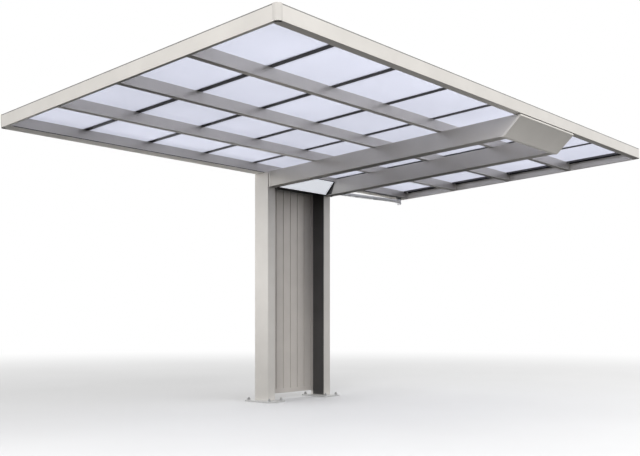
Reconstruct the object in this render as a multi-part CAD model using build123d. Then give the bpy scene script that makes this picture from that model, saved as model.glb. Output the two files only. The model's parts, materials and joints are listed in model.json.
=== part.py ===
from build123d import *
import os
from math import cos, radians, tan

# Cantilever carport: a glazed aluminium roof on two arms that reach out from a pair of posts.
# The origin is on the ground at the centre of the left post's foot plate.
# +X runs along the roof's length, +Y from the open front to the posts, +Z up. Lengths are in millimetres.
# Roof pieces are drawn in the roof's own plane, (u, v, w): along it, down its slope and square to it,
# from the outer bottom corner at the front left. They are then set in place by roof_frame.

# Roof
roof_length = 4954
roof_width = 2767
roof_slope = 3
front_clearance = 2300
post_front_inset = 161
left_arm_share = 0.5313

# Edge beams
edge_height = 92
edge_wall = 3
side_width = 24
side_seat = 64
side_slot_back = 5
front_width = 56
front_slot_back = 38
lip_reach = 16
face_groove_drop = 1.5
face_groove_width = 4.5
face_groove_depth = 1.5

# Corner pieces
corner_leg = 38
corner_round = 30
corner_rise = 2

# Purlins
purlin_names = ("front", "middle", "rear")
purlin_width = 41
purlin_height = 79
purlin_wall = 3
purlin_front_inset = 693
purlin_pitch = 662

# Glazing
bay_count = 8
bay_margin = 56
sheet_thickness = 6
sheet_play = 0.3
sheet_edge_gap = 2
sheet_overhang = 30
bar_flange_width = 45
bar_flange_thickness = 2.5
bar_web = 5
bar_cap_width = 50
bar_cap_thickness = 3
edge_bar_reach = 65

# Gutter
gutter_width = 81
gutter_wall = 2.5
outlet_radius = 16

# Arms
arm_spacing = 805
arm_width = 94
arm_depth = 143
arm_wall = 5
flange_thickness = 30
flange_proud = 2
flange_gap = 14
flange_gap_depth = 18
tip_setback_top = 4
tip_setback_bottom = 149
tip_lip = 17
tip_gap = 6
tip_cover_thickness = 4
tip_cover_return = 18
tip_cover_lap = 2.5

# Posts and feet
post_depth = 174
post_wall = 6
post_head_thickness = 4
liner_thickness = 3
liner_inset = 4
foot_length = 220
foot_width = 330
foot_thickness = 15
foot_round = 12
anchor_spacing_x = 160
anchor_spacing_y = 270
anchor_radius = 9

# Infill panel between the posts
panel_thickness = 22
panel_back_inset = 4
board_count = 7
board_first_share = 2 / 3
board_wall = 2.5
board_groove_width = 7
board_groove_depth = 8
rail_height = 42
rail_wall = 3
rail_seat = 12
rail_ground_gap = 60

# Slanted light panel between the arms
light_length = 155
light_thickness = 8
light_tilt = 45
light_run = 82
light_drop = 80
light_side_gap = 18
bracket_wall = 3
bracket_lap = 16
bracket_length = 150
bracket_height = 24
cheek_drop = 42

# Drain
tee_end_inset = 135
tee_radius = 22.5
tee_wall = 3.2
tee_length = 72
tee_socket_length = 34
pipe_radius = 19
pipe_wall = 2
pipe_drop = 34
pipe_fall = 1.7
pipe_play = 0.3
pipe_entry = 30

# Cuts run past the faces they open by this much
overrun = 40

# Places that follow from the sizes above
slope = radians(roof_slope)
left_arm_run = left_arm_share * roof_length
arm_places = {"left": 0, "right": arm_spacing}
root_v = roof_width - post_front_inset
post_front = -post_depth / 2
roof_frame = Location(
    (-left_arm_run, post_front - root_v * cos(slope), front_clearance),
    (-roof_slope, 0, 0),
)
ledge = purlin_height + bar_flange_thickness
slot_height = sheet_thickness + sheet_play
bay_pitch = (roof_length - 2 * bay_margin) / bay_count
gutter_front = roof_width - side_width - gutter_width
sheet_rear = gutter_front + sheet_overhang
arm_root_z = front_clearance - root_v * cos(slope) * tan(slope) - arm_depth / cos(slope)
post_back_z = front_clearance - (root_v * cos(slope) + post_depth) * tan(slope)
post_gap = arm_spacing - arm_width
post_gap_middle = arm_spacing / 2
tee_u = roof_length - tee_end_inset
tee_v = gutter_front + gutter_width / 2


def prism_x(points, start, end):
    """Extrude an outline of (y, z) points along X."""
    face = Plane.YZ * make_face(Polyline(*points, close=True))
    return Pos(start, 0, 0) * extrude(face, amount=end - start, dir=(1, 0, 0))


def prism_y(points, start, end):
    """Extrude an outline of (x, z) points along Y."""
    face = Plane.XZ * make_face(Polyline(*points, close=True))
    return Pos(0, start, 0) * extrude(face, amount=end - start, dir=(0, 1, 0))


def prism_z(points, start, end):
    """Extrude an outline of (x, y) points along Z."""
    face = make_face(Polyline(*points, close=True))
    return Pos(0, 0, start) * extrude(face, amount=end - start, dir=(0, 0, 1))


def block(low, high):
    """A box between two corners."""
    size = [top - bottom for bottom, top in zip(low, high)]
    middle = [(top + bottom) / 2 for bottom, top in zip(low, high)]
    return Pos(*middle) * Box(*size)


def below_roof(drop):
    """A half space, as a large block, under the plane that lies a given drop below the roof frame."""
    reach = roof_length + roof_width
    return roof_frame * block((-reach, -reach, -reach), (reach, reach, -drop))


def at_end(piece, at_right, at_rear):
    """Turn a piece drawn at the roof's front left into its mirror image at the right, the rear or both."""
    if at_right:
        piece = Pos(roof_length, 0, 0) * mirror(piece, about=Plane.YZ)
    if at_rear:
        piece = Pos(0, roof_width, 0) * mirror(piece, about=Plane.XZ)
    return piece


# Roof frame. Edge outlines are drawn as (distance in from the outer face, height).

def slot_points(slot_back):
    """Edge outline from the back of the glazing slot, round its lip and down the grooved outer face."""
    lip_end = slot_back + lip_reach
    lip_bottom = ledge + slot_height
    groove_top = edge_height - face_groove_drop
    groove_bottom = groove_top - face_groove_width
    return [
        (slot_back, lip_bottom),
        (lip_end, lip_bottom),
        (lip_end, edge_height),
        (0, edge_height),
        (0, groove_top),
        (face_groove_depth, groove_top),
        (face_groove_depth, groove_bottom),
        (0, groove_bottom),
    ]


def side_outline():
    """Narrow edge extrusion of the sides and the rear, with a seat for the edge bar."""
    return [
        (0, 0),
        (side_width, 0),
        (side_width, side_seat),
        (side_slot_back, side_seat),
    ] + slot_points(side_slot_back)


def side_void():
    """Chamber inside the narrow edge extrusion."""
    inner = side_width - edge_wall
    web = side_seat - edge_wall
    return [(edge_wall, edge_wall), (inner, edge_wall), (inner, web), (edge_wall, web)]


def front_outline():
    """Deep front extrusion, with a ledge for the sheets."""
    return [
        (0, 0),
        (front_width, 0),
        (front_width, ledge),
        (front_slot_back, ledge),
    ] + slot_points(front_slot_back)


def front_void():
    """Chamber inside the front extrusion."""
    inner = front_width - edge_wall
    step = front_slot_back - edge_wall
    return [
        (edge_wall, edge_wall),
        (inner, edge_wall),
        (inner, ledge - edge_wall),
        (step, ledge - edge_wall),
        (step, edge_height - edge_wall),
        (edge_wall, edge_height - edge_wall),
    ]


def side_beam(at_right):
    """Narrow extrusion along the left or the right edge, between two corner pieces."""
    start = corner_leg
    end = roof_width - corner_leg
    beam = prism_y(side_outline(), start, end) - prism_y(side_void(), start, end)
    return roof_frame * at_end(beam, at_right, at_rear=False)


def rear_beam():
    """Narrow extrusion along the rear edge, between two corner pieces."""
    start = corner_leg
    end = roof_length - corner_leg
    beam = prism_x(side_outline(), start, end) - prism_x(side_void(), start, end)
    return roof_frame * at_end(beam, at_right=False, at_rear=True)


def front_beam():
    """Front extrusion between the side beams, cut round the two corner pieces."""
    start = side_width
    end = roof_length - side_width
    beam = prism_x(front_outline(), start, end) - prism_x(front_void(), start, end)
    for at_right in (False, True):
        corner = prism_z(corner_plan(0), -overrun, edge_height + overrun)
        beam = beam - at_end(corner, at_right, at_rear=False)
    return roof_frame * beam


def corner_plan(inset):
    """L-shaped plan of a corner piece, drawn in by an inset."""
    far = corner_leg - inset
    inner = side_width - inset
    return [(inset, inset), (far, inset), (far, inner), (inner, inner), (inner, far), (inset, far)]


def corner_block(inset, low, high):
    """L-shaped block with its outer upright edge rounded."""
    piece = prism_z(corner_plan(inset), low, high)
    outer_edge = piece.edges().filter_by(Axis.Z).sort_by(lambda edge: edge.center().X + edge.center().Y)[0]
    return fillet(outer_edge, corner_round - inset)


def corner_piece(at_right, at_rear):
    """Rounded corner casting, hollow and open below, against which two edge beams butt."""
    top = edge_height + corner_rise
    piece = corner_block(0, 0, top) - corner_block(edge_wall, -overrun, top - edge_wall)
    return roof_frame * at_end(piece, at_right, at_rear)


def purlin(index):
    """Box-section purlin between the side beams, resting on the arms."""
    front = purlin_front_inset + index * purlin_pitch
    back = front + purlin_width
    start = side_width
    end = roof_length - side_width
    outside = block((start, front, 0), (end, back, purlin_height))
    inside = block(
        (start - overrun, front + purlin_wall, purlin_wall),
        (end + overrun, back - purlin_wall, purlin_height - purlin_wall),
    )
    return roof_frame * (outside - inside)


def gutter():
    """Open channel along the inside of the rear beam, with the outlet hole in its floor."""
    inner = gutter_front
    outer = gutter_front + gutter_width
    outline = [
        (inner, 0),
        (outer, 0),
        (outer, purlin_height),
        (outer - gutter_wall, purlin_height),
        (outer - gutter_wall, gutter_wall),
        (inner + gutter_wall, gutter_wall),
        (inner + gutter_wall, purlin_height),
        (inner, purlin_height),
    ]
    channel = prism_x(outline, side_width, roof_length - side_width)
    outlet = Pos(tee_u, tee_v, 0) * Cylinder(outlet_radius, 2 * overrun)
    return roof_frame * (channel - outlet)


# Glazing

def edge_bar(at_right):
    """Dark channel, open below, under the outer edge of the end sheet and notched over the purlins."""
    start = side_slot_back
    end = side_width + edge_bar_reach
    outline = [
        (start, side_seat),
        (start + edge_wall, side_seat),
        (start + edge_wall, purlin_height),
        (end - edge_wall, purlin_height),
        (end - edge_wall, side_seat),
        (end, side_seat),
        (end, ledge),
        (start, ledge),
    ]
    bar = prism_y(outline, front_width, gutter_front)
    for index in range(len(purlin_names)):
        front = purlin_front_inset + index * purlin_pitch
        bar = bar - block((side_width, front, 0), (end + overrun, front + purlin_width, purlin_height))
    return roof_frame * at_end(bar, at_right, at_rear=False)


def bar_middle(index):
    """Place along the roof of the middle of a glazing bar, counted from 1."""
    return bay_margin + index * bay_pitch


def glazing_bar(index):
    """H-section bar that carries the edges of two neighbouring sheets."""
    middle = bar_middle(index)
    cap_bottom = ledge + slot_height
    half_flange = bar_flange_width / 2
    half_web = bar_web / 2
    half_cap = bar_cap_width / 2
    right_side = [
        (half_flange, purlin_height),
        (half_flange, ledge),
        (half_web, ledge),
        (half_web, cap_bottom),
        (half_cap, cap_bottom),
        (half_cap, cap_bottom + bar_cap_thickness),
    ]
    left_side = [(-x, z) for x, z in reversed(right_side)]
    outline = [(middle + x, z) for x, z in right_side + left_side]
    return roof_frame * prism_y(outline, front_width, sheet_rear)


def roof_sheet(index):
    """One sheet, held by the bars at its sides and by the slots of the edge beams."""
    web_clear = bar_web / 2 + sheet_edge_gap
    start = bar_middle(index - 1) + web_clear
    end = bar_middle(index) - web_clear
    if index == 1:
        start = side_slot_back + sheet_edge_gap
    if index == bay_count:
        end = roof_length - side_slot_back - sheet_edge_gap
    low = (start, front_slot_back + sheet_edge_gap, ledge)
    high = (end, sheet_rear, ledge + sheet_thickness)
    return roof_frame * block(low, high)


# Cantilever arms

def tip_profile(offset, drop):
    """Outline, as (v, w), of all that lies behind the tip's lip and slant, at an offset from them."""
    run = tip_setback_bottom - tip_setback_top
    rise = arm_depth - tip_lip
    shift = offset * (run ** 2 + rise ** 2) ** 0.5 / rise
    lip = tip_setback_top + offset
    knee = tip_lip - (shift - offset) * rise / run
    foot = tip_setback_bottom + shift + (drop - arm_depth) * run / rise
    return [(lip, 0), (lip, -knee), (foot, -drop), (roof_width, -drop), (roof_width, 0)]


def arm_centre(side):
    """Place of an arm's middle along the roof."""
    return left_arm_run + arm_places[side]


def arm(side):
    """Box-section arm, slanted at its tip and cut upright where it meets the flange."""
    middle = arm_centre(side)
    start = middle - arm_width / 2
    end = middle + arm_width / 2
    outside = prism_x(tip_profile(tip_cover_thickness, arm_depth), start, end)
    inside = block(
        (start + arm_wall, -overrun, arm_wall - arm_depth),
        (end - arm_wall, 2 * roof_width, -arm_wall),
    )
    reach = block(
        (-roof_length, -roof_length, 0),
        (roof_length, post_front - flange_thickness, front_clearance + edge_height),
    )
    return (roof_frame * (outside - inside)) & reach


def arm_flange(side):
    """Upright plate at the arm's root, proud of its outer side and foot, with a shadow gap at the post."""
    outward = -1 if side == "left" else 1
    inner = arm_places[side] - outward * arm_width / 2
    outer = arm_places[side] + outward * (arm_width / 2 + flange_proud)
    spacer_outer = outer - outward * flange_gap_depth
    low_z = arm_root_z - flange_proud
    gap_front = post_front - flange_gap
    plate = block(
        (min(inner, outer), post_front - flange_thickness, low_z),
        (max(inner, outer), gap_front, front_clearance),
    )
    spacer = block(
        (min(inner, spacer_outer), gap_front, low_z + flange_gap_depth),
        (max(inner, spacer_outer), post_front, front_clearance),
    )
    return (plate + spacer) & below_roof(0)


def arm_tip_cover():
    """Slanted cap across both arm tips, with an upright lip above and folds round the arms."""
    start = arm_centre("left") - arm_width / 2
    end = arm_centre("right") + arm_width / 2
    low = start - tip_cover_lap
    high = end + tip_cover_lap
    cover = prism_x(tip_profile(0, arm_depth + tip_cover_lap), low, high)
    cover = cover - prism_x(tip_profile(tip_cover_return, 2 * arm_depth), low, high)
    cover = cover - prism_x(tip_profile(tip_cover_thickness, arm_depth), start, end)
    gap = block((low, 0, -tip_gap), (high, roof_width, overrun))
    return roof_frame * (cover - gap)


# Posts and feet

def post_prism(side, wall):
    """Upright block with the post's plan, or the plan of its chamber inside a given wall."""
    middle = arm_places[side]
    half_x = arm_width / 2 - wall
    half_y = post_depth / 2 - wall
    return block((middle - half_x, -half_y, foot_thickness), (middle + half_x, half_y, front_clearance))


def drain_axis():
    """Frame of the drain pipe: its origin is on the tee's axis and its Z points down the pipe."""
    return roof_frame * Location((tee_u, tee_v, -pipe_drop), (0, -90 - pipe_fall, 0))


def drain_run():
    """Length of the pipe's axis from the tee to where the pipe ends inside the right post."""
    post_face = arm_centre("right") + arm_width / 2
    return (tee_u - post_face + pipe_entry) / cos(radians(pipe_fall))


def drain_rod(radius, start, end):
    """A round bar along the drain pipe's axis."""
    return drain_axis() * (Pos(0, 0, (start + end) / 2) * Cylinder(radius, end - start))


def post(side):
    """Hollow post, closed by a raked head that carries the roof frame. The right one takes in the drain."""
    chamber = post_prism(side, post_wall) & below_roof(post_head_thickness)
    tube = (post_prism(side, 0) & below_roof(0)) - chamber
    if side == "right":
        tube = tube - drain_rod(pipe_radius + pipe_play, drain_run() - pipe_entry - overrun, drain_run())
    return tube


def post_liner(side):
    """Dark cover strip on a post's inner face, in front of the infill panel."""
    toward = 1 if side == "left" else -1
    face = arm_places[side] + toward * arm_width / 2
    start, end = sorted((face, face + toward * liner_thickness))
    return block(
        (start, post_front + liner_inset, foot_thickness + liner_inset),
        (end, panel_front - rail_wall, post_back_z - liner_inset),
    )


def foot_plate(side):
    """Rounded plate with four anchor holes."""
    plate = extrude(RectangleRounded(foot_length, foot_width, foot_round), amount=foot_thickness)
    for spot in GridLocations(anchor_spacing_x, anchor_spacing_y, 2, 2):
        plate = plate - spot * Cylinder(anchor_radius, 2 * overrun)
    return Pos(arm_places[side], 0, 0) * plate


# Infill panel

panel_back = post_depth / 2 - panel_back_inset
panel_front = panel_back - panel_thickness
panel_start = post_gap_middle - post_gap / 2
panel_end = post_gap_middle + post_gap / 2
panel_low = rail_ground_gap + rail_height - rail_seat
panel_high = post_back_z - rail_height + rail_seat


def back_panel():
    """Hollow boards in one panel: a chamber in each board and grooves at the joints on both faces."""
    board_pitch = post_gap / board_count
    half_groove = board_groove_width / 2
    side_wall = half_groove + board_wall
    joints = [panel_start + (board_first_share + index) * board_pitch for index in range(board_count)]
    panel = block((panel_start, panel_front, panel_low), (panel_end, panel_back, panel_high))
    for joint in joints:
        left = joint - half_groove
        right = joint + half_groove
        front_floor = panel_front + board_groove_depth
        back_floor = panel_back - board_groove_depth
        panel = panel - block((left, panel_front - overrun, 0), (right, front_floor, front_clearance))
        panel = panel - block((left, back_floor, 0), (right, panel_back + overrun, front_clearance))
    for left, right in zip([panel_start] + joints, joints + [panel_end]):
        low = (left + side_wall, panel_front + board_wall, 0)
        high = (right - side_wall, panel_back - board_wall, front_clearance)
        panel = panel - block(low, high)
    return panel


def panel_rail(floor_z, mouth_z):
    """Channel across the posts, from its floor to its mouth, with the panel's edge in it."""
    toward = 1 if mouth_z > floor_z else -1
    front = panel_front - rail_wall
    back = panel_back + rail_wall
    seat_z = mouth_z - toward * rail_seat
    low, high = sorted((floor_z, mouth_z))
    cut_low, cut_high = sorted((seat_z, mouth_z + toward * overrun))
    rail = block((panel_start, front, low), (panel_end, back, high))
    slot = block(
        (panel_start - overrun, panel_front - sheet_play, cut_low),
        (panel_end + overrun, panel_back + sheet_play, cut_high),
    )
    return rail - slot


# Light panel

def light_frame():
    """Frame of the light panel: X along the roof, Y up its slope, Z out of its lit face."""
    return roof_frame * Location(
        (left_arm_run + post_gap_middle, root_v - light_run, -light_drop),
        (180 - light_tilt, 0, 0),
    )


def light_panel():
    """Flat pale panel, short of the arms at both ends."""
    width = post_gap - 2 * light_side_gap
    return light_frame() * Box(width, light_length, light_thickness)


def light_panel_brackets():
    """Two brackets: a leg along the arm with a three-cornered cheek, and a leg behind the panel."""
    edge = post_gap / 2
    face = edge - bracket_wall
    front = light_thickness / 2
    back = -front
    lap = edge - light_side_gap - bracket_lap
    outline = [
        (edge, front),
        (face, front),
        (face, back),
        (lap, back),
        (lap, back - bracket_wall),
        (face, back - bracket_wall),
        (face, back - bracket_height),
        (edge, back - bracket_height),
    ]
    low = -bracket_length / 2
    high = bracket_length / 2
    cheek = [(low, front), (high, front), (low + cheek_drop, front + cheek_drop)]
    right = prism_y(outline, low, high) + prism_x(cheek, face, edge)
    left = mirror(right, about=Plane.YZ)
    return light_frame() * Compound(children=[right, left])


# Drain

def drain_tee():
    """Tee under the gutter's outlet: an upright body with a closed foot and a socket for the pipe."""
    inner = tee_radius - tee_wall
    body = Pos(0, 0, -tee_length / 2) * Cylinder(tee_radius, tee_length)
    chamber_length = tee_length - tee_wall
    chamber = Pos(0, 0, -chamber_length / 2) * Cylinder(inner, chamber_length)
    upright = roof_frame * Pos(tee_u, tee_v, 0)
    socket_end = tee_radius + tee_socket_length
    outside = upright * body + drain_rod(tee_radius, 0, socket_end)
    return outside - upright * chamber - drain_rod(pipe_radius + pipe_play, 0, socket_end + overrun)


def drain_pipe():
    """Straight pipe from the tee's socket into the right post."""
    bore = pipe_radius - pipe_wall
    return drain_rod(pipe_radius, tee_radius, drain_run()) - drain_rod(bore, 0, drain_run() + overrun)


parts = {}
for side in arm_places:
    parts[f"foot_plate_{side}"] = foot_plate(side)
    parts[f"post_{side}"] = post(side)
    parts[f"post_liner_{side}"] = post_liner(side)
    parts[f"arm_{side}"] = arm(side)
    parts[f"arm_flange_{side}"] = arm_flange(side)
parts["arm_tip_cover"] = arm_tip_cover()
parts["back_panel"] = back_panel()
parts["panel_bottom_rail"] = panel_rail(rail_ground_gap, rail_ground_gap + rail_height)
parts["panel_top_rail"] = panel_rail(post_back_z, post_back_z - rail_height)
parts["light_panel"] = light_panel()
parts["light_panel_brackets"] = light_panel_brackets()
parts["front_beam"] = front_beam()
parts["rear_beam"] = rear_beam()
for side, at_right in (("left", False), ("right", True)):
    parts[f"{side}_beam"] = side_beam(at_right)
    parts[f"edge_bar_{side}"] = edge_bar(at_right)
    parts[f"corner_front_{side}"] = corner_piece(at_right, at_rear=False)
    parts[f"corner_rear_{side}"] = corner_piece(at_right, at_rear=True)
for index, place in enumerate(purlin_names):
    parts[f"purlin_{place}"] = purlin(index)
parts["gutter"] = gutter()
for index in range(1, bay_count):
    parts[f"glazing_bar_{index}"] = glazing_bar(index)
for index in range(1, bay_count + 1):
    parts[f"roof_sheet_{index}"] = roof_sheet(index)
parts["drain_tee"] = drain_tee()
parts["drain_pipe"] = drain_pipe()

os.makedirs("parts", exist_ok=True)
for name, shape in parts.items():
    export_step(shape, f"parts/{name}.step")
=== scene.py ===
import json
import math

import bmesh
import bpy
from mathutils import Matrix, Vector


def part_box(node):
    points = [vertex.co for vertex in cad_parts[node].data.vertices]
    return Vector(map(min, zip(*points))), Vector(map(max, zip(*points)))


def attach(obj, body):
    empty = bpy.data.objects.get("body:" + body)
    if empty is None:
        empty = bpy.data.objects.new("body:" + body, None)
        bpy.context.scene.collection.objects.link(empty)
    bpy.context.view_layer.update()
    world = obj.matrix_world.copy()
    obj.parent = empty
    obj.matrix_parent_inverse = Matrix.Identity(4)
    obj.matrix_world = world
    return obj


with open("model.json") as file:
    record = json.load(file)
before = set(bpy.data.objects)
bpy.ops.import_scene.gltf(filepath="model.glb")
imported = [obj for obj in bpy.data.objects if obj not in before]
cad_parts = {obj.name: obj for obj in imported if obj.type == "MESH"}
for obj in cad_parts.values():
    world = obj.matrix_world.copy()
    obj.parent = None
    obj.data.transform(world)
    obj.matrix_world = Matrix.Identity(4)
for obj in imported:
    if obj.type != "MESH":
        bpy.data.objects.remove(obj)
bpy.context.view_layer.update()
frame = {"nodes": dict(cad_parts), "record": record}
nodes = frame["nodes"]

# Sizes of the solid model in metres, and its angles in degrees
mm = 0.001
roof_slope = 3.0
edge_height = 92 * mm
side_width = 24 * mm
front_width = 56 * mm
side_lip_end = 21 * mm
front_lip_end = 54 * mm
sheet_top = 87.5 * mm
cap_top = 90.8 * mm
cap_half_width = 25 * mm
corner_leg = 38 * mm
groove_low = 86 * mm
groove_width = 4.5 * mm
groove_depth = 1.5 * mm
gutter_width = 81 * mm
tee_end_inset = 135 * mm
tee_radius = 22.5 * mm
tee_length = 72 * mm
tee_socket_length = 34 * mm
pipe_radius = 19 * mm
pipe_drop = 34 * mm
pipe_fall = 1.7
anchor_spacing_x = 160 * mm
anchor_spacing_y = 270 * mm
light_tilt = 45.0
light_width = 675 * mm
light_length = 155 * mm
light_thickness = 8 * mm
light_side_gap = 18 * mm
bracket_wall = 3 * mm

# Level camera fitted to the roof's edges in the photograph, whose horizon lies below its middle.
# The sensor is in millimetres, and the heading in degrees from +X
image_width = 640
image_height = 456
focal_pixels = 845.9
horizon_pixel = 317.5
sensor_width = 36.0
camera_place = (-5.715, -5.640, 0.7965)
camera_heading = 40.896

# Roof axes: u along the roof, v down its slope and w square to it
slope = math.radians(roof_slope)
roof_origin = Vector((
    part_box("left_beam")[0].x,
    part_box("front_beam")[0].y,
    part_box("front_beam")[1].z - edge_height * math.cos(slope),
))
roof_axes = Matrix.Rotation(-slope, 3, "X")
roof_up = roof_axes @ Vector((0, 0, 1))


def on_roof(u, v, w):
    """The point with the given places along the roof's axes."""
    return roof_origin + roof_axes @ Vector((u, v, w))


def roof_v(y, w):
    """Distance down the slope of a point with a given y and height above the roof's underside."""
    return (y - roof_origin.y - w * math.sin(slope)) / math.cos(slope)


def middle_u(name):
    """Place along the roof of a node's middle."""
    low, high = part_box(name)
    return (low.x + high.x) / 2 - roof_origin.x


# Places and sizes that several pieces share
roof_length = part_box("right_beam")[1].x - roof_origin.x
roof_width = roof_v(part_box("rear_beam")[1].y, edge_height)
sheet_rear = roof_v(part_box("roof_sheet_1")[1].y, sheet_top)
bar_places = [middle_u(name) for name in sorted(nodes) if name.startswith("glazing_bar")]
gutter_front = roof_width - side_width - gutter_width
tee_u = roof_length - tee_end_inset
tee_v = gutter_front + gutter_width / 2
drain_play = 0.4 * mm

# Middle of the light panel, with X along the roof, Y up the panel's slope and Z out of its lit face
light_low, light_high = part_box("light_panel")
light_turn = math.radians(180 - light_tilt) - slope
light_place = Matrix.Translation((light_low + light_high) / 2) @ Matrix.Rotation(light_turn, 4, "X")


# Materials

class Shader:
    """A material with a Principled shader, and short calls for the nodes that feed it."""

    def __init__(self, name):
        self.material = bpy.data.materials.new(name)
        self.material.use_nodes = True
        self.tree = self.material.node_tree
        self.surface = self.tree.nodes["Principled BSDF"]
        self.output = self.tree.nodes["Material Output"]

    def add(self, kind, **settings):
        """A new node with the given settings."""
        node = self.tree.nodes.new(kind)
        for key, value in settings.items():
            setattr(node, key, value)
        return node

    def link(self, source, target):
        """Link one node's output to another's input."""
        self.tree.links.new(source, target)

    def feed(self, **sources):
        """Link sources to inputs of the Principled shader, whose names have _ for each space."""
        for key, source in sources.items():
            self.link(source, self.surface.inputs[key.replace("_", " ")])

    def set(self, **values):
        """Set inputs of the Principled shader, whose names have _ for each space."""
        for key, value in values.items():
            self.surface.inputs[key.replace("_", " ")].default_value = value

    def place(self):
        """Object coordinates, in metres."""
        return self.add("ShaderNodeTexCoord").outputs["Object"]

    def noise(self, scale, detail=3.0):
        """Cloudy noise from 0 to 1."""
        node = self.add("ShaderNodeTexNoise")
        node.inputs["Scale"].default_value = scale
        node.inputs["Detail"].default_value = detail
        self.link(self.place(), node.inputs["Vector"])
        return node.outputs["Fac"]

    def ramp(self, factor, dark, light, low=0.3, high=0.7):
        """A colour that goes from dark to light as the factor rises from low to high."""
        node = self.add("ShaderNodeValToRGB")
        for stop, position, colour in zip(node.color_ramp.elements, (low, high), (dark, light)):
            stop.position = position
            stop.color = (*colour, 1)
        self.link(factor, node.inputs["Fac"])
        return node.outputs["Color"]

    def spread(self, factor, low, high):
        """A number that goes from low to high as the factor rises from 0 to 1."""
        node = self.add("ShaderNodeMapRange")
        node.inputs["To Min"].default_value = low
        node.inputs["To Max"].default_value = high
        self.link(factor, node.inputs["Value"])
        return node.outputs["Result"]

    def bump(self, height, depth, strength):
        """Unevenness too fine to model."""
        node = self.add("ShaderNodeBump")
        node.inputs["Strength"].default_value = strength
        node.inputs["Distance"].default_value = depth
        self.link(height, node.inputs["Height"])
        self.feed(Normal=node.outputs["Normal"])

    def mix_with(self, other):
        """Mix the Principled shader with another, and give the socket for the other one's share."""
        mix = self.add("ShaderNodeMixShader")
        self.link(self.surface.outputs["BSDF"], mix.inputs[1])
        self.link(other, mix.inputs[2])
        self.link(mix.outputs["Shader"], self.output.inputs["Surface"])
        return mix.inputs["Fac"]


def shade(colour, share):
    """A colour made darker or lighter."""
    return tuple(channel * share for channel in colour)


def coated_metal(name, colour, roughness, metallic=0.0, mottling=0.035):
    """Satin coat: a faint mottle, a fine grain and a slight unevenness in gloss."""
    unevenness = 0.04
    grain_depth = 0.2 * mm
    shader = Shader(name)
    mottle = shader.noise(scale=5.0, detail=5.0)
    gloss = shader.noise(scale=11.0, detail=1.0)
    shader.set(Metallic=metallic)
    shader.feed(
        Base_Color=shader.ramp(mottle, shade(colour, 1 - mottling), shade(colour, 1 + mottling)),
        Roughness=shader.spread(gloss, roughness - unevenness, roughness + unevenness),
    )
    shader.bump(shader.noise(scale=900.0, detail=2.0), grain_depth, strength=0.15)
    return shader.material


def brushed_metal(name, colour, roughness=0.36):
    """Zinc or dark plating of the fasteners, with a fine grain."""
    dark_share = 0.8
    smoother = 0.08
    rougher = 0.1
    shader = Shader(name)
    grain = shader.noise(scale=420.0, detail=4.0)
    shader.set(Metallic=0.85)
    shader.feed(
        Base_Color=shader.ramp(grain, shade(colour, dark_share), colour),
        Roughness=shader.spread(grain, roughness - smoother, roughness + rougher),
    )
    return shader.material


def galvanised(name, colour):
    """Zinc spangle: flat crystal patches of slightly different brightness."""
    dark_share = 0.86
    shader = Shader(name)
    spangle = shader.add("ShaderNodeTexVoronoi")
    spangle.inputs["Scale"].default_value = 70.0
    shader.link(shader.place(), spangle.inputs["Vector"])
    patches = spangle.outputs["Color"]
    shader.set(Metallic=0.35)
    shader.feed(
        Base_Color=shader.ramp(patches, shade(colour, dark_share), colour, low=0.1, high=0.9),
        Roughness=shader.spread(patches, low=0.42, high=0.6),
    )
    return shader.material


def opal_sheet(name, colour, glow):
    """Opal glazing: light from one side comes out softly at the other."""
    dark_share = 0.96
    dim_share = 0.94
    through_share = 0.86
    shader = Shader(name)
    cloud = shader.noise(scale=1.3, detail=2.0)
    shader.feed(
        Base_Color=shader.ramp(cloud, shade(colour, dark_share), colour),
        Roughness=shader.spread(shader.noise(scale=24.0), low=0.16, high=0.26),
    )
    through = shader.add("ShaderNodeBsdfTranslucent")
    shader.link(shader.ramp(cloud, shade(glow, dim_share), glow), through.inputs["Color"])
    shader.mix_with(through.outputs["BSDF"]).default_value = through_share
    return shader.material


def light_diffuser(name, colour, strength):
    """White diffuser of the light panel, which glows a little."""
    dark_share = 0.95
    shader = Shader(name)
    cloud = shader.noise(scale=9.0, detail=2.0)
    shader.set(Roughness=0.35, Emission_Color=(*colour, 1), Emission_Strength=strength)
    shader.feed(Base_Color=shader.ramp(cloud, shade(colour, dark_share), colour))
    return shader.material


def plain_plastic(name, colour, roughness):
    """Moulded plastic or rubber, slightly uneven in tone and gloss."""
    dark_share = 0.92
    light_share = 1.05
    smoother = 0.05
    rougher = 0.08
    grain_depth = 0.1 * mm
    shader = Shader(name)
    tone = shader.noise(scale=14.0, detail=4.0)
    shader.feed(
        Base_Color=shader.ramp(tone, shade(colour, dark_share), shade(colour, light_share)),
        Roughness=shader.spread(tone, roughness - smoother, roughness + rougher),
    )
    shader.bump(shader.noise(scale=600.0), grain_depth, strength=0.2)
    return shader.material


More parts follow.
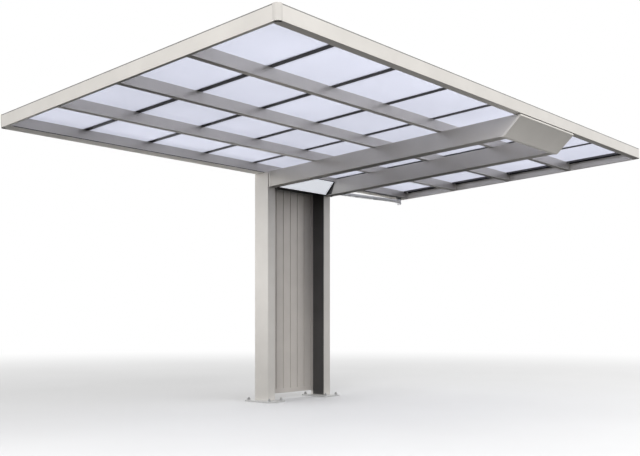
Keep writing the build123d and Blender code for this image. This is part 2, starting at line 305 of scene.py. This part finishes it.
frame_colour = (0.63, 0.605, 0.57)
materials = {
    "frame": coated_metal("frame_coat", frame_colour, roughness=0.32, metallic=0.5),
    # Darker copy of the frame coat for the corner pieces: painted shade that tones down the light their
    # rounded faces catch
    "corner": coated_metal("corner_shaded_coat", shade(frame_colour, share=0.86), roughness=0.44, metallic=0.4),
    # Darker copy of the frame coat for the gutter: painted shade
    "gutter": coated_metal("gutter_shaded_coat", shade(frame_colour, share=0.86), roughness=0.32, metallic=0.5),
    # Lighter copy of the frame coat for the posts: painted light
    "post": coated_metal("post_lit_coat", shade(frame_colour, share=1.02), roughness=0.34, metallic=0.4),
    # Darker copy of the frame coat for the arms under the roof: painted shade
    "arm": coated_metal("arm_shaded_coat", shade(frame_colour, share=0.88), roughness=0.32, metallic=0.55),
    "cover": coated_metal("cover_coat", shade(frame_colour, share=0.98), roughness=0.4, metallic=0.3),
    "infill": coated_metal("infill_coat", (0.63, 0.59, 0.55), roughness=0.38, metallic=0.45),
    "foot_plate": galvanised("zinc_spangle", (0.62, 0.62, 0.61)),
    "glazing_bar": coated_metal("dark_coat", (0.072, 0.072, 0.078), roughness=0.5, mottling=0.12),
    "roof_sheet": opal_sheet("opal_glazing", (0.80, 0.81, 0.85), glow=(0.775, 0.785, 0.845)),
    "light_panel": light_diffuser("light_diffuser", (0.86, 0.89, 0.94), strength=0.65),
    # Near-black coat: painted shade for the dark gaps and recesses round the light panel where these
    # parts sit
    "bracket": coated_metal("bracket_shade_coat", (0.045, 0.043, 0.043), roughness=0.36, mottling=0.15),
    "drain": plain_plastic("drain_plastic", (0.86, 0.86, 0.86), roughness=0.38),
}
# Near-black rubber of the glazing beads, and painted shade in the dark strips along the gutter and round
# the light panel; it also colours the ring round the tee's neck
black_rubber_and_shade = plain_plastic("black_rubber_and_shade", (0.012, 0.012, 0.014), roughness=0.62)
edge_groove_grey = plain_plastic("edge_groove_grey", (0.15, 0.15, 0.147), roughness=0.6)
fastener_steel = brushed_metal("fastener_steel", (0.55, 0.55, 0.55))
dark_steel = brushed_metal("dark_steel", (0.06, 0.06, 0.065), roughness=0.45)


# Solids

# Nodes with another coat than their slot's: the arms' flanges take the post's lighter coat as painted
# light, and the gutter a darker coat as painted shade
lit_and_shaded_nodes = {"arm_flange_left": "post", "arm_flange_right": "post", "gutter": "gutter"}

# How far the edges in each slot are eased
default_bevel = 0.8 * mm
bevel_widths = {
    "frame": 0.6 * mm,
    "post": 2.5 * mm,
    "arm": 2.0 * mm,
    "foot_plate": 1.5 * mm,
}


def ease_edges(thing, width):
    """Round off an object's sharp edges a little."""
    sharp_angle = 40
    bevel = thing.modifiers.new("eased_edges", "BEVEL")
    bevel.width = width
    bevel.segments = 2
    bevel.limit_method = "ANGLE"
    bevel.angle_limit = math.radians(sharp_angle)


def dress_nodes():
    """Give every solid its finish and slightly eased edges."""
    weld_distance = 0.01 * mm
    for row in frame["record"]["subparts"]:
        slot = row["material_slot"]
        node = nodes[row["node"]]
        node.data.materials.clear()
        node.data.materials.append(materials[lit_and_shaded_nodes.get(row["node"], slot)])
        weld = node.modifiers.new("weld", "WELD")
        weld.merge_threshold = weld_distance
        ease_edges(node, bevel_widths.get(slot, default_bevel))
        shading = node.modifiers.new("flat_faces", "WEIGHTED_NORMAL")
        shading.mode = "FACE_AREA"
        shading.weight = 100


# Small pieces

class Piece:
    """A mesh built up from simple solids, each given its place by a matrix."""

    def __init__(self, name, slot, material):
        self.name = name
        self.slot = slot
        self.material = material
        self.mesh = bmesh.new()

    def cylinder(self, place, radius, height, sides):
        """An upright cylinder that stands on the place's origin."""
        bmesh.ops.create_cone(
            self.mesh,
            cap_ends=True,
            segments=sides,
            radius1=radius,
            radius2=radius,
            depth=height,
            matrix=place @ Matrix.Translation((0, 0, height / 2)),
        )

    def box(self, place, size):
        """A box with its origin in the middle of its lower face."""
        middle = Matrix.Translation((0, 0, size[2] / 2))
        bmesh.ops.create_cube(self.mesh, size=1, matrix=place @ middle @ Matrix.Diagonal((*size, 1)))

    def lathe(self, place, outline, sides=48, ring=True):
        """Points (radius, height) turned round the place's Z: a ring, or a solid with flat ends."""
        rings = []
        for step in range(sides):
            turn = Matrix.Rotation(2 * math.pi * step / sides, 4, "Z")
            rings.append([self.mesh.verts.new(place @ turn @ Vector((r, 0, z))) for r, z in outline])
        spans = len(outline) if ring else len(outline) - 1
        for here, there in zip(rings, rings[1:] + rings[:1]):
            for first in range(spans):
                last = (first + 1) % len(outline)
                self.mesh.faces.new((here[first], there[first], there[last], here[last]))
        if not ring:
            for end in (0, -1):
                self.mesh.faces.new([points[end] for points in rings])

    def extrusion(self, place, outline, length):
        """A closed outline of (y, z) points drawn out along the place's X, half of it to each side."""
        ends = [
            [self.mesh.verts.new(place @ Vector((x, y, z))) for y, z in outline]
            for x in (-length / 2, length / 2)
        ]
        for first in range(len(outline)):
            last = (first + 1) % len(outline)
            self.mesh.faces.new((ends[0][first], ends[0][last], ends[1][last], ends[1][first]))
        for end in ends:
            self.mesh.faces.new(end)

    def finish(self, easing=0.0):
        """Make the object, fixed to the one body, with edges eased by the given width."""
        data = bpy.data.meshes.new(self.name)
        bmesh.ops.recalc_face_normals(self.mesh, faces=self.mesh.faces)
        self.mesh.to_mesh(data)
        self.mesh.free()
        piece = bpy.data.objects.new(self.name, data)
        bpy.context.scene.collection.objects.link(piece)
        data.materials.append(self.material)
        if easing:
            ease_edges(piece, easing)
        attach(piece, "root")


def facing(point, direction):
    """A place at a point, with its Z along a direction."""
    return Matrix.Translation(point) @ Vector(direction).to_track_quat("Z", "Y").to_matrix().to_4x4()


# Outline of a low domed screw head with a round socket, as shares of its radius and its height
screw_shares = [(1, 0), (1, 0.3), (0.93, 0.65), (0.62, 1), (0.38, 1), (0.34, 0.4)]


def screw(piece, place, head_radius, head_height):
    """A screw head that stands on the place's origin."""
    outline = [(head_radius * across, head_height * up) for across, up in screw_shares]
    piece.lathe(place, outline, sides=20, ring=False)


def anchors(side):
    """Washers, nuts and stud ends on a foot plate."""
    washer_radius = 15 * mm
    washer_height = 3 * mm
    nut_radius = 13.8 * mm
    nut_height = 13 * mm
    nut_turn = 0.4
    stud_radius = 8 * mm
    stud_height = 8 * mm
    stud_tip_radius = 6.5 * mm
    stud_tip_height = 1.5 * mm
    easing = 0.6 * mm
    stud = [
        (stud_radius, 0),
        (stud_radius, stud_height),
        (stud_tip_radius, stud_height + stud_tip_height),
    ]
    low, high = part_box(f"foot_plate_{side}")
    middle = (low + high) / 2
    piece = Piece(f"anchors_{side}", "foot_plate", fastener_steel)
    for step_x in (-0.5, 0.5):
        for step_y in (-0.5, 0.5):
            x = middle.x + step_x * anchor_spacing_x
            y = middle.y + step_y * anchor_spacing_y
            place = Matrix.Translation((x, y, high.z))
            on_washer = place @ Matrix.Translation((0, 0, washer_height))
            on_nut = place @ Matrix.Translation((0, 0, washer_height + nut_height))
            turn = Matrix.Rotation(nut_turn * (step_x - step_y), 4, "Z")
            piece.cylinder(place, washer_radius, washer_height, sides=32)
            piece.cylinder(on_washer @ turn, nut_radius, nut_height, sides=6)
            piece.lathe(on_nut, stud, sides=24, ring=False)
    piece.finish(easing)


def cap_screws():
    """Rows of screws along the caps of the glazing bars."""
    count = 9
    end_gap = 90 * mm
    head_radius = 5.5 * mm
    head_height = 3.4 * mm
    pitch = (sheet_rear - front_width - 2 * end_gap) / (count - 1)
    piece = Piece("cap_screws", "glazing_bar", fastener_steel)
    for u in bar_places:
        for index in range(count):
            spot = on_roof(u, front_width + end_gap + index * pitch, cap_top)
            screw(piece, facing(spot, roof_up), head_radius, head_height)
    piece.finish()


def strip(piece, start, end, width, height):
    """A straight strip between two (u, v, w) points, which end its underside's middle line."""
    first = on_roof(*start)
    last = on_roof(*end)
    along = (last - first).normalized()
    axes = Matrix((along, roof_up.cross(along), roof_up)).transposed().to_4x4()
    piece.box(Matrix.Translation((first + last) / 2) @ axes, ((last - first).length, width, height))


def glazing_seals():
    """Rubber beads on the sheets, along the caps and along the lips of the edge beams."""
    width = 3.5 * mm
    height = 2.4 * mm
    easing = 0.9 * mm
    w = sheet_top
    piece = Piece("glazing_seals", "glazing_bar", black_rubber_and_shade)
    beside_caps = [
        middle + side * (cap_half_width + width / 2)
        for middle in bar_places
        for side in (-1, 1)
    ]
    for u in beside_caps:
        strip(piece, (u, front_width, w), (u, sheet_rear, w), width, height)
    v = front_lip_end + width / 2
    strip(piece, (side_width, v, w), (roof_length - side_width, v, w), width, height)
    beside_lip = side_lip_end + width / 2
    for u in (beside_lip, roof_length - beside_lip):
        strip(piece, (u, front_width, w), (u, sheet_rear, w), width, height)
    piece.finish(easing)


def edge_groove_strips():
    """Grey strips in the grooves along the top of the roof's outer faces, which make the line there
    dark.
    """
    play = 0.2 * mm
    easing = 0.3 * mm
    middle = groove_depth / 2
    w = groove_low + play
    width = groove_depth - play
    height = groove_width - 2 * play
    piece = Piece("edge_groove_strips", "glazing_bar", edge_groove_grey)
    for u in (middle, roof_length - middle):
        strip(piece, (u, corner_leg, w), (u, roof_width - corner_leg, w), width, height)
    for v in (middle, roof_width - middle):
        strip(piece, (corner_leg, v, w), (roof_length - corner_leg, v, w), width, height)
    piece.finish(easing)


def gutter_shade_strip():
    """Near-black strip along the lower front edge of the gutter: painted shade for the shadow line
    there.
    """
    width = 1.2 * mm
    height = 5 * mm
    easing = 0.4 * mm
    v = gutter_front - width / 2
    piece = Piece("gutter_shade_strip", "glazing_bar", black_rubber_and_shade)
    strip(piece, (side_width, v, 0), (roof_length - side_width, v, 0), width, height)
    piece.finish(easing)


def drain_rings():
    """Rings on the drain: a collar on the post, a bead on the tee's socket and one round its foot."""
    collar_width = 12 * mm
    collar_rim = 2 * mm
    collar_neck = 4 * mm
    collar_height = 7 * mm
    bead_width = 2.5 * mm
    bead_slant = 2 * mm
    bead_height = 8 * mm
    bead_setback = 9 * mm
    easing = 0.5 * mm
    on_pipe = pipe_radius + drain_play
    collar = [
        (on_pipe, 0),
        (on_pipe + collar_width, 0),
        (on_pipe + collar_width, collar_rim),
        (on_pipe + collar_neck, collar_height),
        (on_pipe, collar_height),
    ]
    on_tee = tee_radius + drain_play
    bead = [
        (on_tee, 0),
        (on_tee + bead_width, bead_slant),
        (on_tee + bead_width, bead_height - bead_slant),
        (on_tee, bead_height),
    ]
    fall = math.radians(pipe_fall)
    down = roof_axes @ Vector((-math.cos(fall), 0, -math.sin(fall)))
    tee = on_roof(tee_u, tee_v, -pipe_drop)
    post_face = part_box("post_right")[1].x
    entry = tee + down * ((post_face - tee.x) / down.x)
    socket = tee + down * (tee_radius + tee_socket_length - bead_setback)
    foot = on_roof(tee_u, tee_v, -tee_length)
    piece = Piece("drain_rings", "drain", materials["drain"])
    piece.lathe(facing(entry, (1, 0, 0)), collar)
    piece.lathe(facing(socket, down), bead)
    piece.lathe(facing(foot, roof_up), bead)
    piece.finish(easing)


def tee_neck_dark_ring():
    """Near-black ring round the tee's neck, just under the gutter."""
    width = 4 * mm
    height = 10 * mm
    slant = 1.5 * mm
    gutter_gap = 0.5 * mm
    inner = tee_radius + drain_play
    outer = inner + width
    outline = [(inner, 0), (outer, slant), (outer, height), (inner, height)]
    neck = on_roof(tee_u, tee_v, -height - gutter_gap)
    piece = Piece("tee_neck_dark_ring", "glazing_bar", black_rubber_and_shade)
    piece.lathe(facing(neck, roof_up), outline)
    piece.finish()


def light_panel_screws():
    """Dark screws near the four corners of the light panel."""
    inset_x = 14 * mm
    inset_y = 34 * mm
    head_radius = 5 * mm
    head_height = 2.6 * mm
    piece = Piece("light_panel_screws", "bracket", dark_steel)
    for step_x in (-1, 1):
        for step_y in (-1, 1):
            x = step_x * (light_width / 2 - inset_x)
            y = step_y * (light_length / 2 - inset_y)
            place = light_place @ Matrix.Translation((x, y, light_thickness / 2))
            screw(piece, place, head_radius, head_height)
    piece.finish()


def light_panel_shade_strips():
    """Near-black strips round the light panel, in the gaps to its brackets and along its long edges:
    painted shade for the dark gaps there.
    """
    play = 0.3 * mm
    foot = 12 * mm
    head = 4 * mm
    easing = 0.6 * mm
    side = light_side_gap - bracket_wall - 2 * play
    depth = light_thickness - 2 * play
    piece = Piece("light_panel_shade_strips", "bracket", black_rubber_and_shade)
    for way in (-1, 1):
        spot = (way * (light_width + side + 2 * play) / 2, 0, -depth / 2)
        piece.box(light_place @ Matrix.Translation(spot), (side, light_length, depth))
    for height, way in ((foot, -1), (head, 1)):
        spot = (0, way * (light_length + height + 2 * play) / 2, -depth / 2)
        piece.box(light_place @ Matrix.Translation(spot), (light_width + 2 * side, height, depth))
    piece.finish(easing)


def light_panel_soffit():
    """Folded plate that closes the gap between the light panel's back and the boards, so their tops lie
    in its shade; its near-black coat is painted shade as well.
    """
    play = 0.5 * mm
    sheet = 2 * mm
    front_fold = 10 * mm
    back_fold = 15 * mm
    overlap = 8 * mm
    rise = 16 * mm
    easing = 0.5 * mm
    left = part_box("post_liner_left")[1].x + play
    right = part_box("post_liner_right")[0].x - play
    front = light_high.y - overlap
    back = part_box("back_panel")[0].y - play
    outline = [
        (front, 0),
        (back, 0),
        (back, back_fold),
        (back - sheet, back_fold),
        (back - sheet, sheet),
        (front + sheet, sheet),
        (front + sheet, front_fold),
        (front, front_fold),
    ]
    place = Matrix.Translation(((left + right) / 2, 0, light_low.z + rise))
    piece = Piece("light_panel_soffit", "bracket", materials["bracket"])
    piece.extrusion(place, outline, right - left)
    piece.finish(easing)


def rail_screws():
    """Screws near the ends of the infill's rails, on both faces."""
    inset = 22 * mm
    head_radius = 5 * mm
    head_height = 2.8 * mm
    piece = Piece("rail_screws", "infill", fastener_steel)
    for name in ("panel_top_rail", "panel_bottom_rail"):
        low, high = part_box(name)
        z = (low.z + high.z) / 2
        for x in (low.x + inset, high.x - inset):
            for y, way in ((low.y, -1), (high.y, 1)):
                screw(piece, facing((x, y, z), (0, way, 0)), head_radius, head_height)
    piece.finish()


dress_nodes()
for side in ("left", "right"):
    anchors(side)
cap_screws()
glazing_seals()
edge_groove_strips()
gutter_shade_strip()
drain_rings()
tee_neck_dark_ring()
light_panel_screws()
light_panel_shade_strips()
light_panel_soffit()
rail_screws()


# Stage

def floor_material():
    """Pale paint near the part that turns into a white backdrop farther away."""
    dark_grey = (0.60, 0.60, 0.60)
    light_grey = (0.62, 0.62, 0.62)
    fade_start = 3.5
    fade_end = 13.0
    shader = Shader("floor_paint")
    tone = shader.noise(scale=0.6)
    shader.set(Roughness=0.8)
    shader.feed(Base_Color=shader.ramp(tone, dark_grey, light_grey))
    distance = shader.add("ShaderNodeVectorMath", operation="LENGTH")
    shader.link(shader.place(), distance.inputs[0])
    fade = shader.add("ShaderNodeMapRange", interpolation_type="SMOOTHSTEP")
    fade.inputs["From Min"].default_value = fade_start
    fade.inputs["From Max"].default_value = fade_end
    shader.link(distance.outputs["Value"], fade.inputs["Value"])
    backdrop = shader.add("ShaderNodeEmission")
    backdrop.inputs["Color"].default_value = (1.0, 1.0, 1.0, 1.0)
    shader.link(fade.outputs["Result"], shader.mix_with(backdrop.outputs["Emission"]))
    return shader.material


def floor():
    """A floor out to the horizon that neither lights the part nor shows in reflections."""
    floor_size = 4000
    bpy.ops.mesh.primitive_plane_add(size=floor_size, location=(0, 0, 0))
    plane = bpy.context.object
    plane.name = "floor"
    plane.data.materials.append(floor_material())
    plane.visible_diffuse = False
    plane.visible_glossy = False


def sky():
    """White surroundings that are dim below the horizon, blended over a thin band of heights."""
    band_low = -0.08
    band_high = -0.015
    dim_strength = 0.02
    full_strength = 1.0
    world = bpy.data.worlds.new("surroundings")
    bpy.context.scene.world = world
    world.use_nodes = True
    tree = world.node_tree
    direction = tree.nodes.new("ShaderNodeTexCoord")
    parts = tree.nodes.new("ShaderNodeSeparateXYZ")
    ramp = tree.nodes.new("ShaderNodeMapRange")
    ramp.inputs["From Min"].default_value = band_low
    ramp.inputs["From Max"].default_value = band_high
    ramp.inputs["To Min"].default_value = dim_strength
    ramp.inputs["To Max"].default_value = full_strength
    background = tree.nodes["Background"]
    background.inputs["Color"].default_value = (1.0, 1.0, 1.0, 1.0)
    tree.links.new(direction.outputs["Generated"], parts.inputs["Vector"])
    tree.links.new(parts.outputs["Z"], ramp.inputs["Value"])
    tree.links.new(ramp.outputs["Result"], background.inputs["Strength"])


def softbox(name, place, target, size, power, spread=180):
    """A soft area light that shows neither in the picture nor in reflections."""
    data = bpy.data.lights.new(name, "AREA")
    data.shape = "RECTANGLE"
    data.size, data.size_y = size
    data.energy = power
    data.spread = math.radians(spread)
    light = bpy.data.objects.new(name, data)
    light.location = place
    light.rotation_euler = (Vector(target) - Vector(place)).to_track_quat("-Z", "Y").to_euler()
    light.visible_camera = False
    light.visible_glossy = False
    bpy.context.scene.collection.objects.link(light)


def softboxes():
    """Two large lights for the faces towards the camera, and three low ones for what they miss."""
    softbox(
        "left_front_light",
        place=(-8.5, -5.5, 3.8),
        target=(-1.5, -1.5, 2.2),
        size=(3.0, 2.0),
        power=530,
    )
    softbox(
        "front_light",
        place=(1.7, -9.5, 7.5),
        target=(0.5, -1.3, 2.2),
        size=(7.0, 4.0),
        power=665,
    )
    softbox(
        "front_low_light",
        place=(-0.2, -2.62, 1.3),
        target=(-0.2, -2.62, 2.3),
        size=(4.9, 0.2),
        power=18,
    )
    softbox(
        "rear_low_light",
        place=(-0.2, 1.6, 0.1),
        target=(-0.2, 0.1, 2.2),
        size=(6.0, 0.8),
        power=55,
        spread=70,
    )
    softbox(
        "post_light",
        place=(-2.3, 0.3, 1.0),
        target=(-0.05, 0.0, 1.3),
        size=(0.6, 1.2),
        power=4.5,
        spread=80,
    )


def camera():
    """The photograph's view: level, with the picture shifted up from the horizon."""
    level = math.radians(90)
    heading = math.radians(camera_heading - 90)
    data = bpy.data.cameras.new("camera")
    data.sensor_width = sensor_width
    data.lens = sensor_width * focal_pixels / image_width
    data.shift_y = (horizon_pixel - image_height / 2) / image_width
    eye = bpy.data.objects.new("camera", data)
    eye.location = camera_place
    eye.rotation_euler = (level, 0, heading)
    bpy.context.scene.collection.objects.link(eye)
    bpy.context.scene.camera = eye


floor()
sky()
softboxes()
camera()
bpy.context.scene.view_settings.view_transform = "Standard"
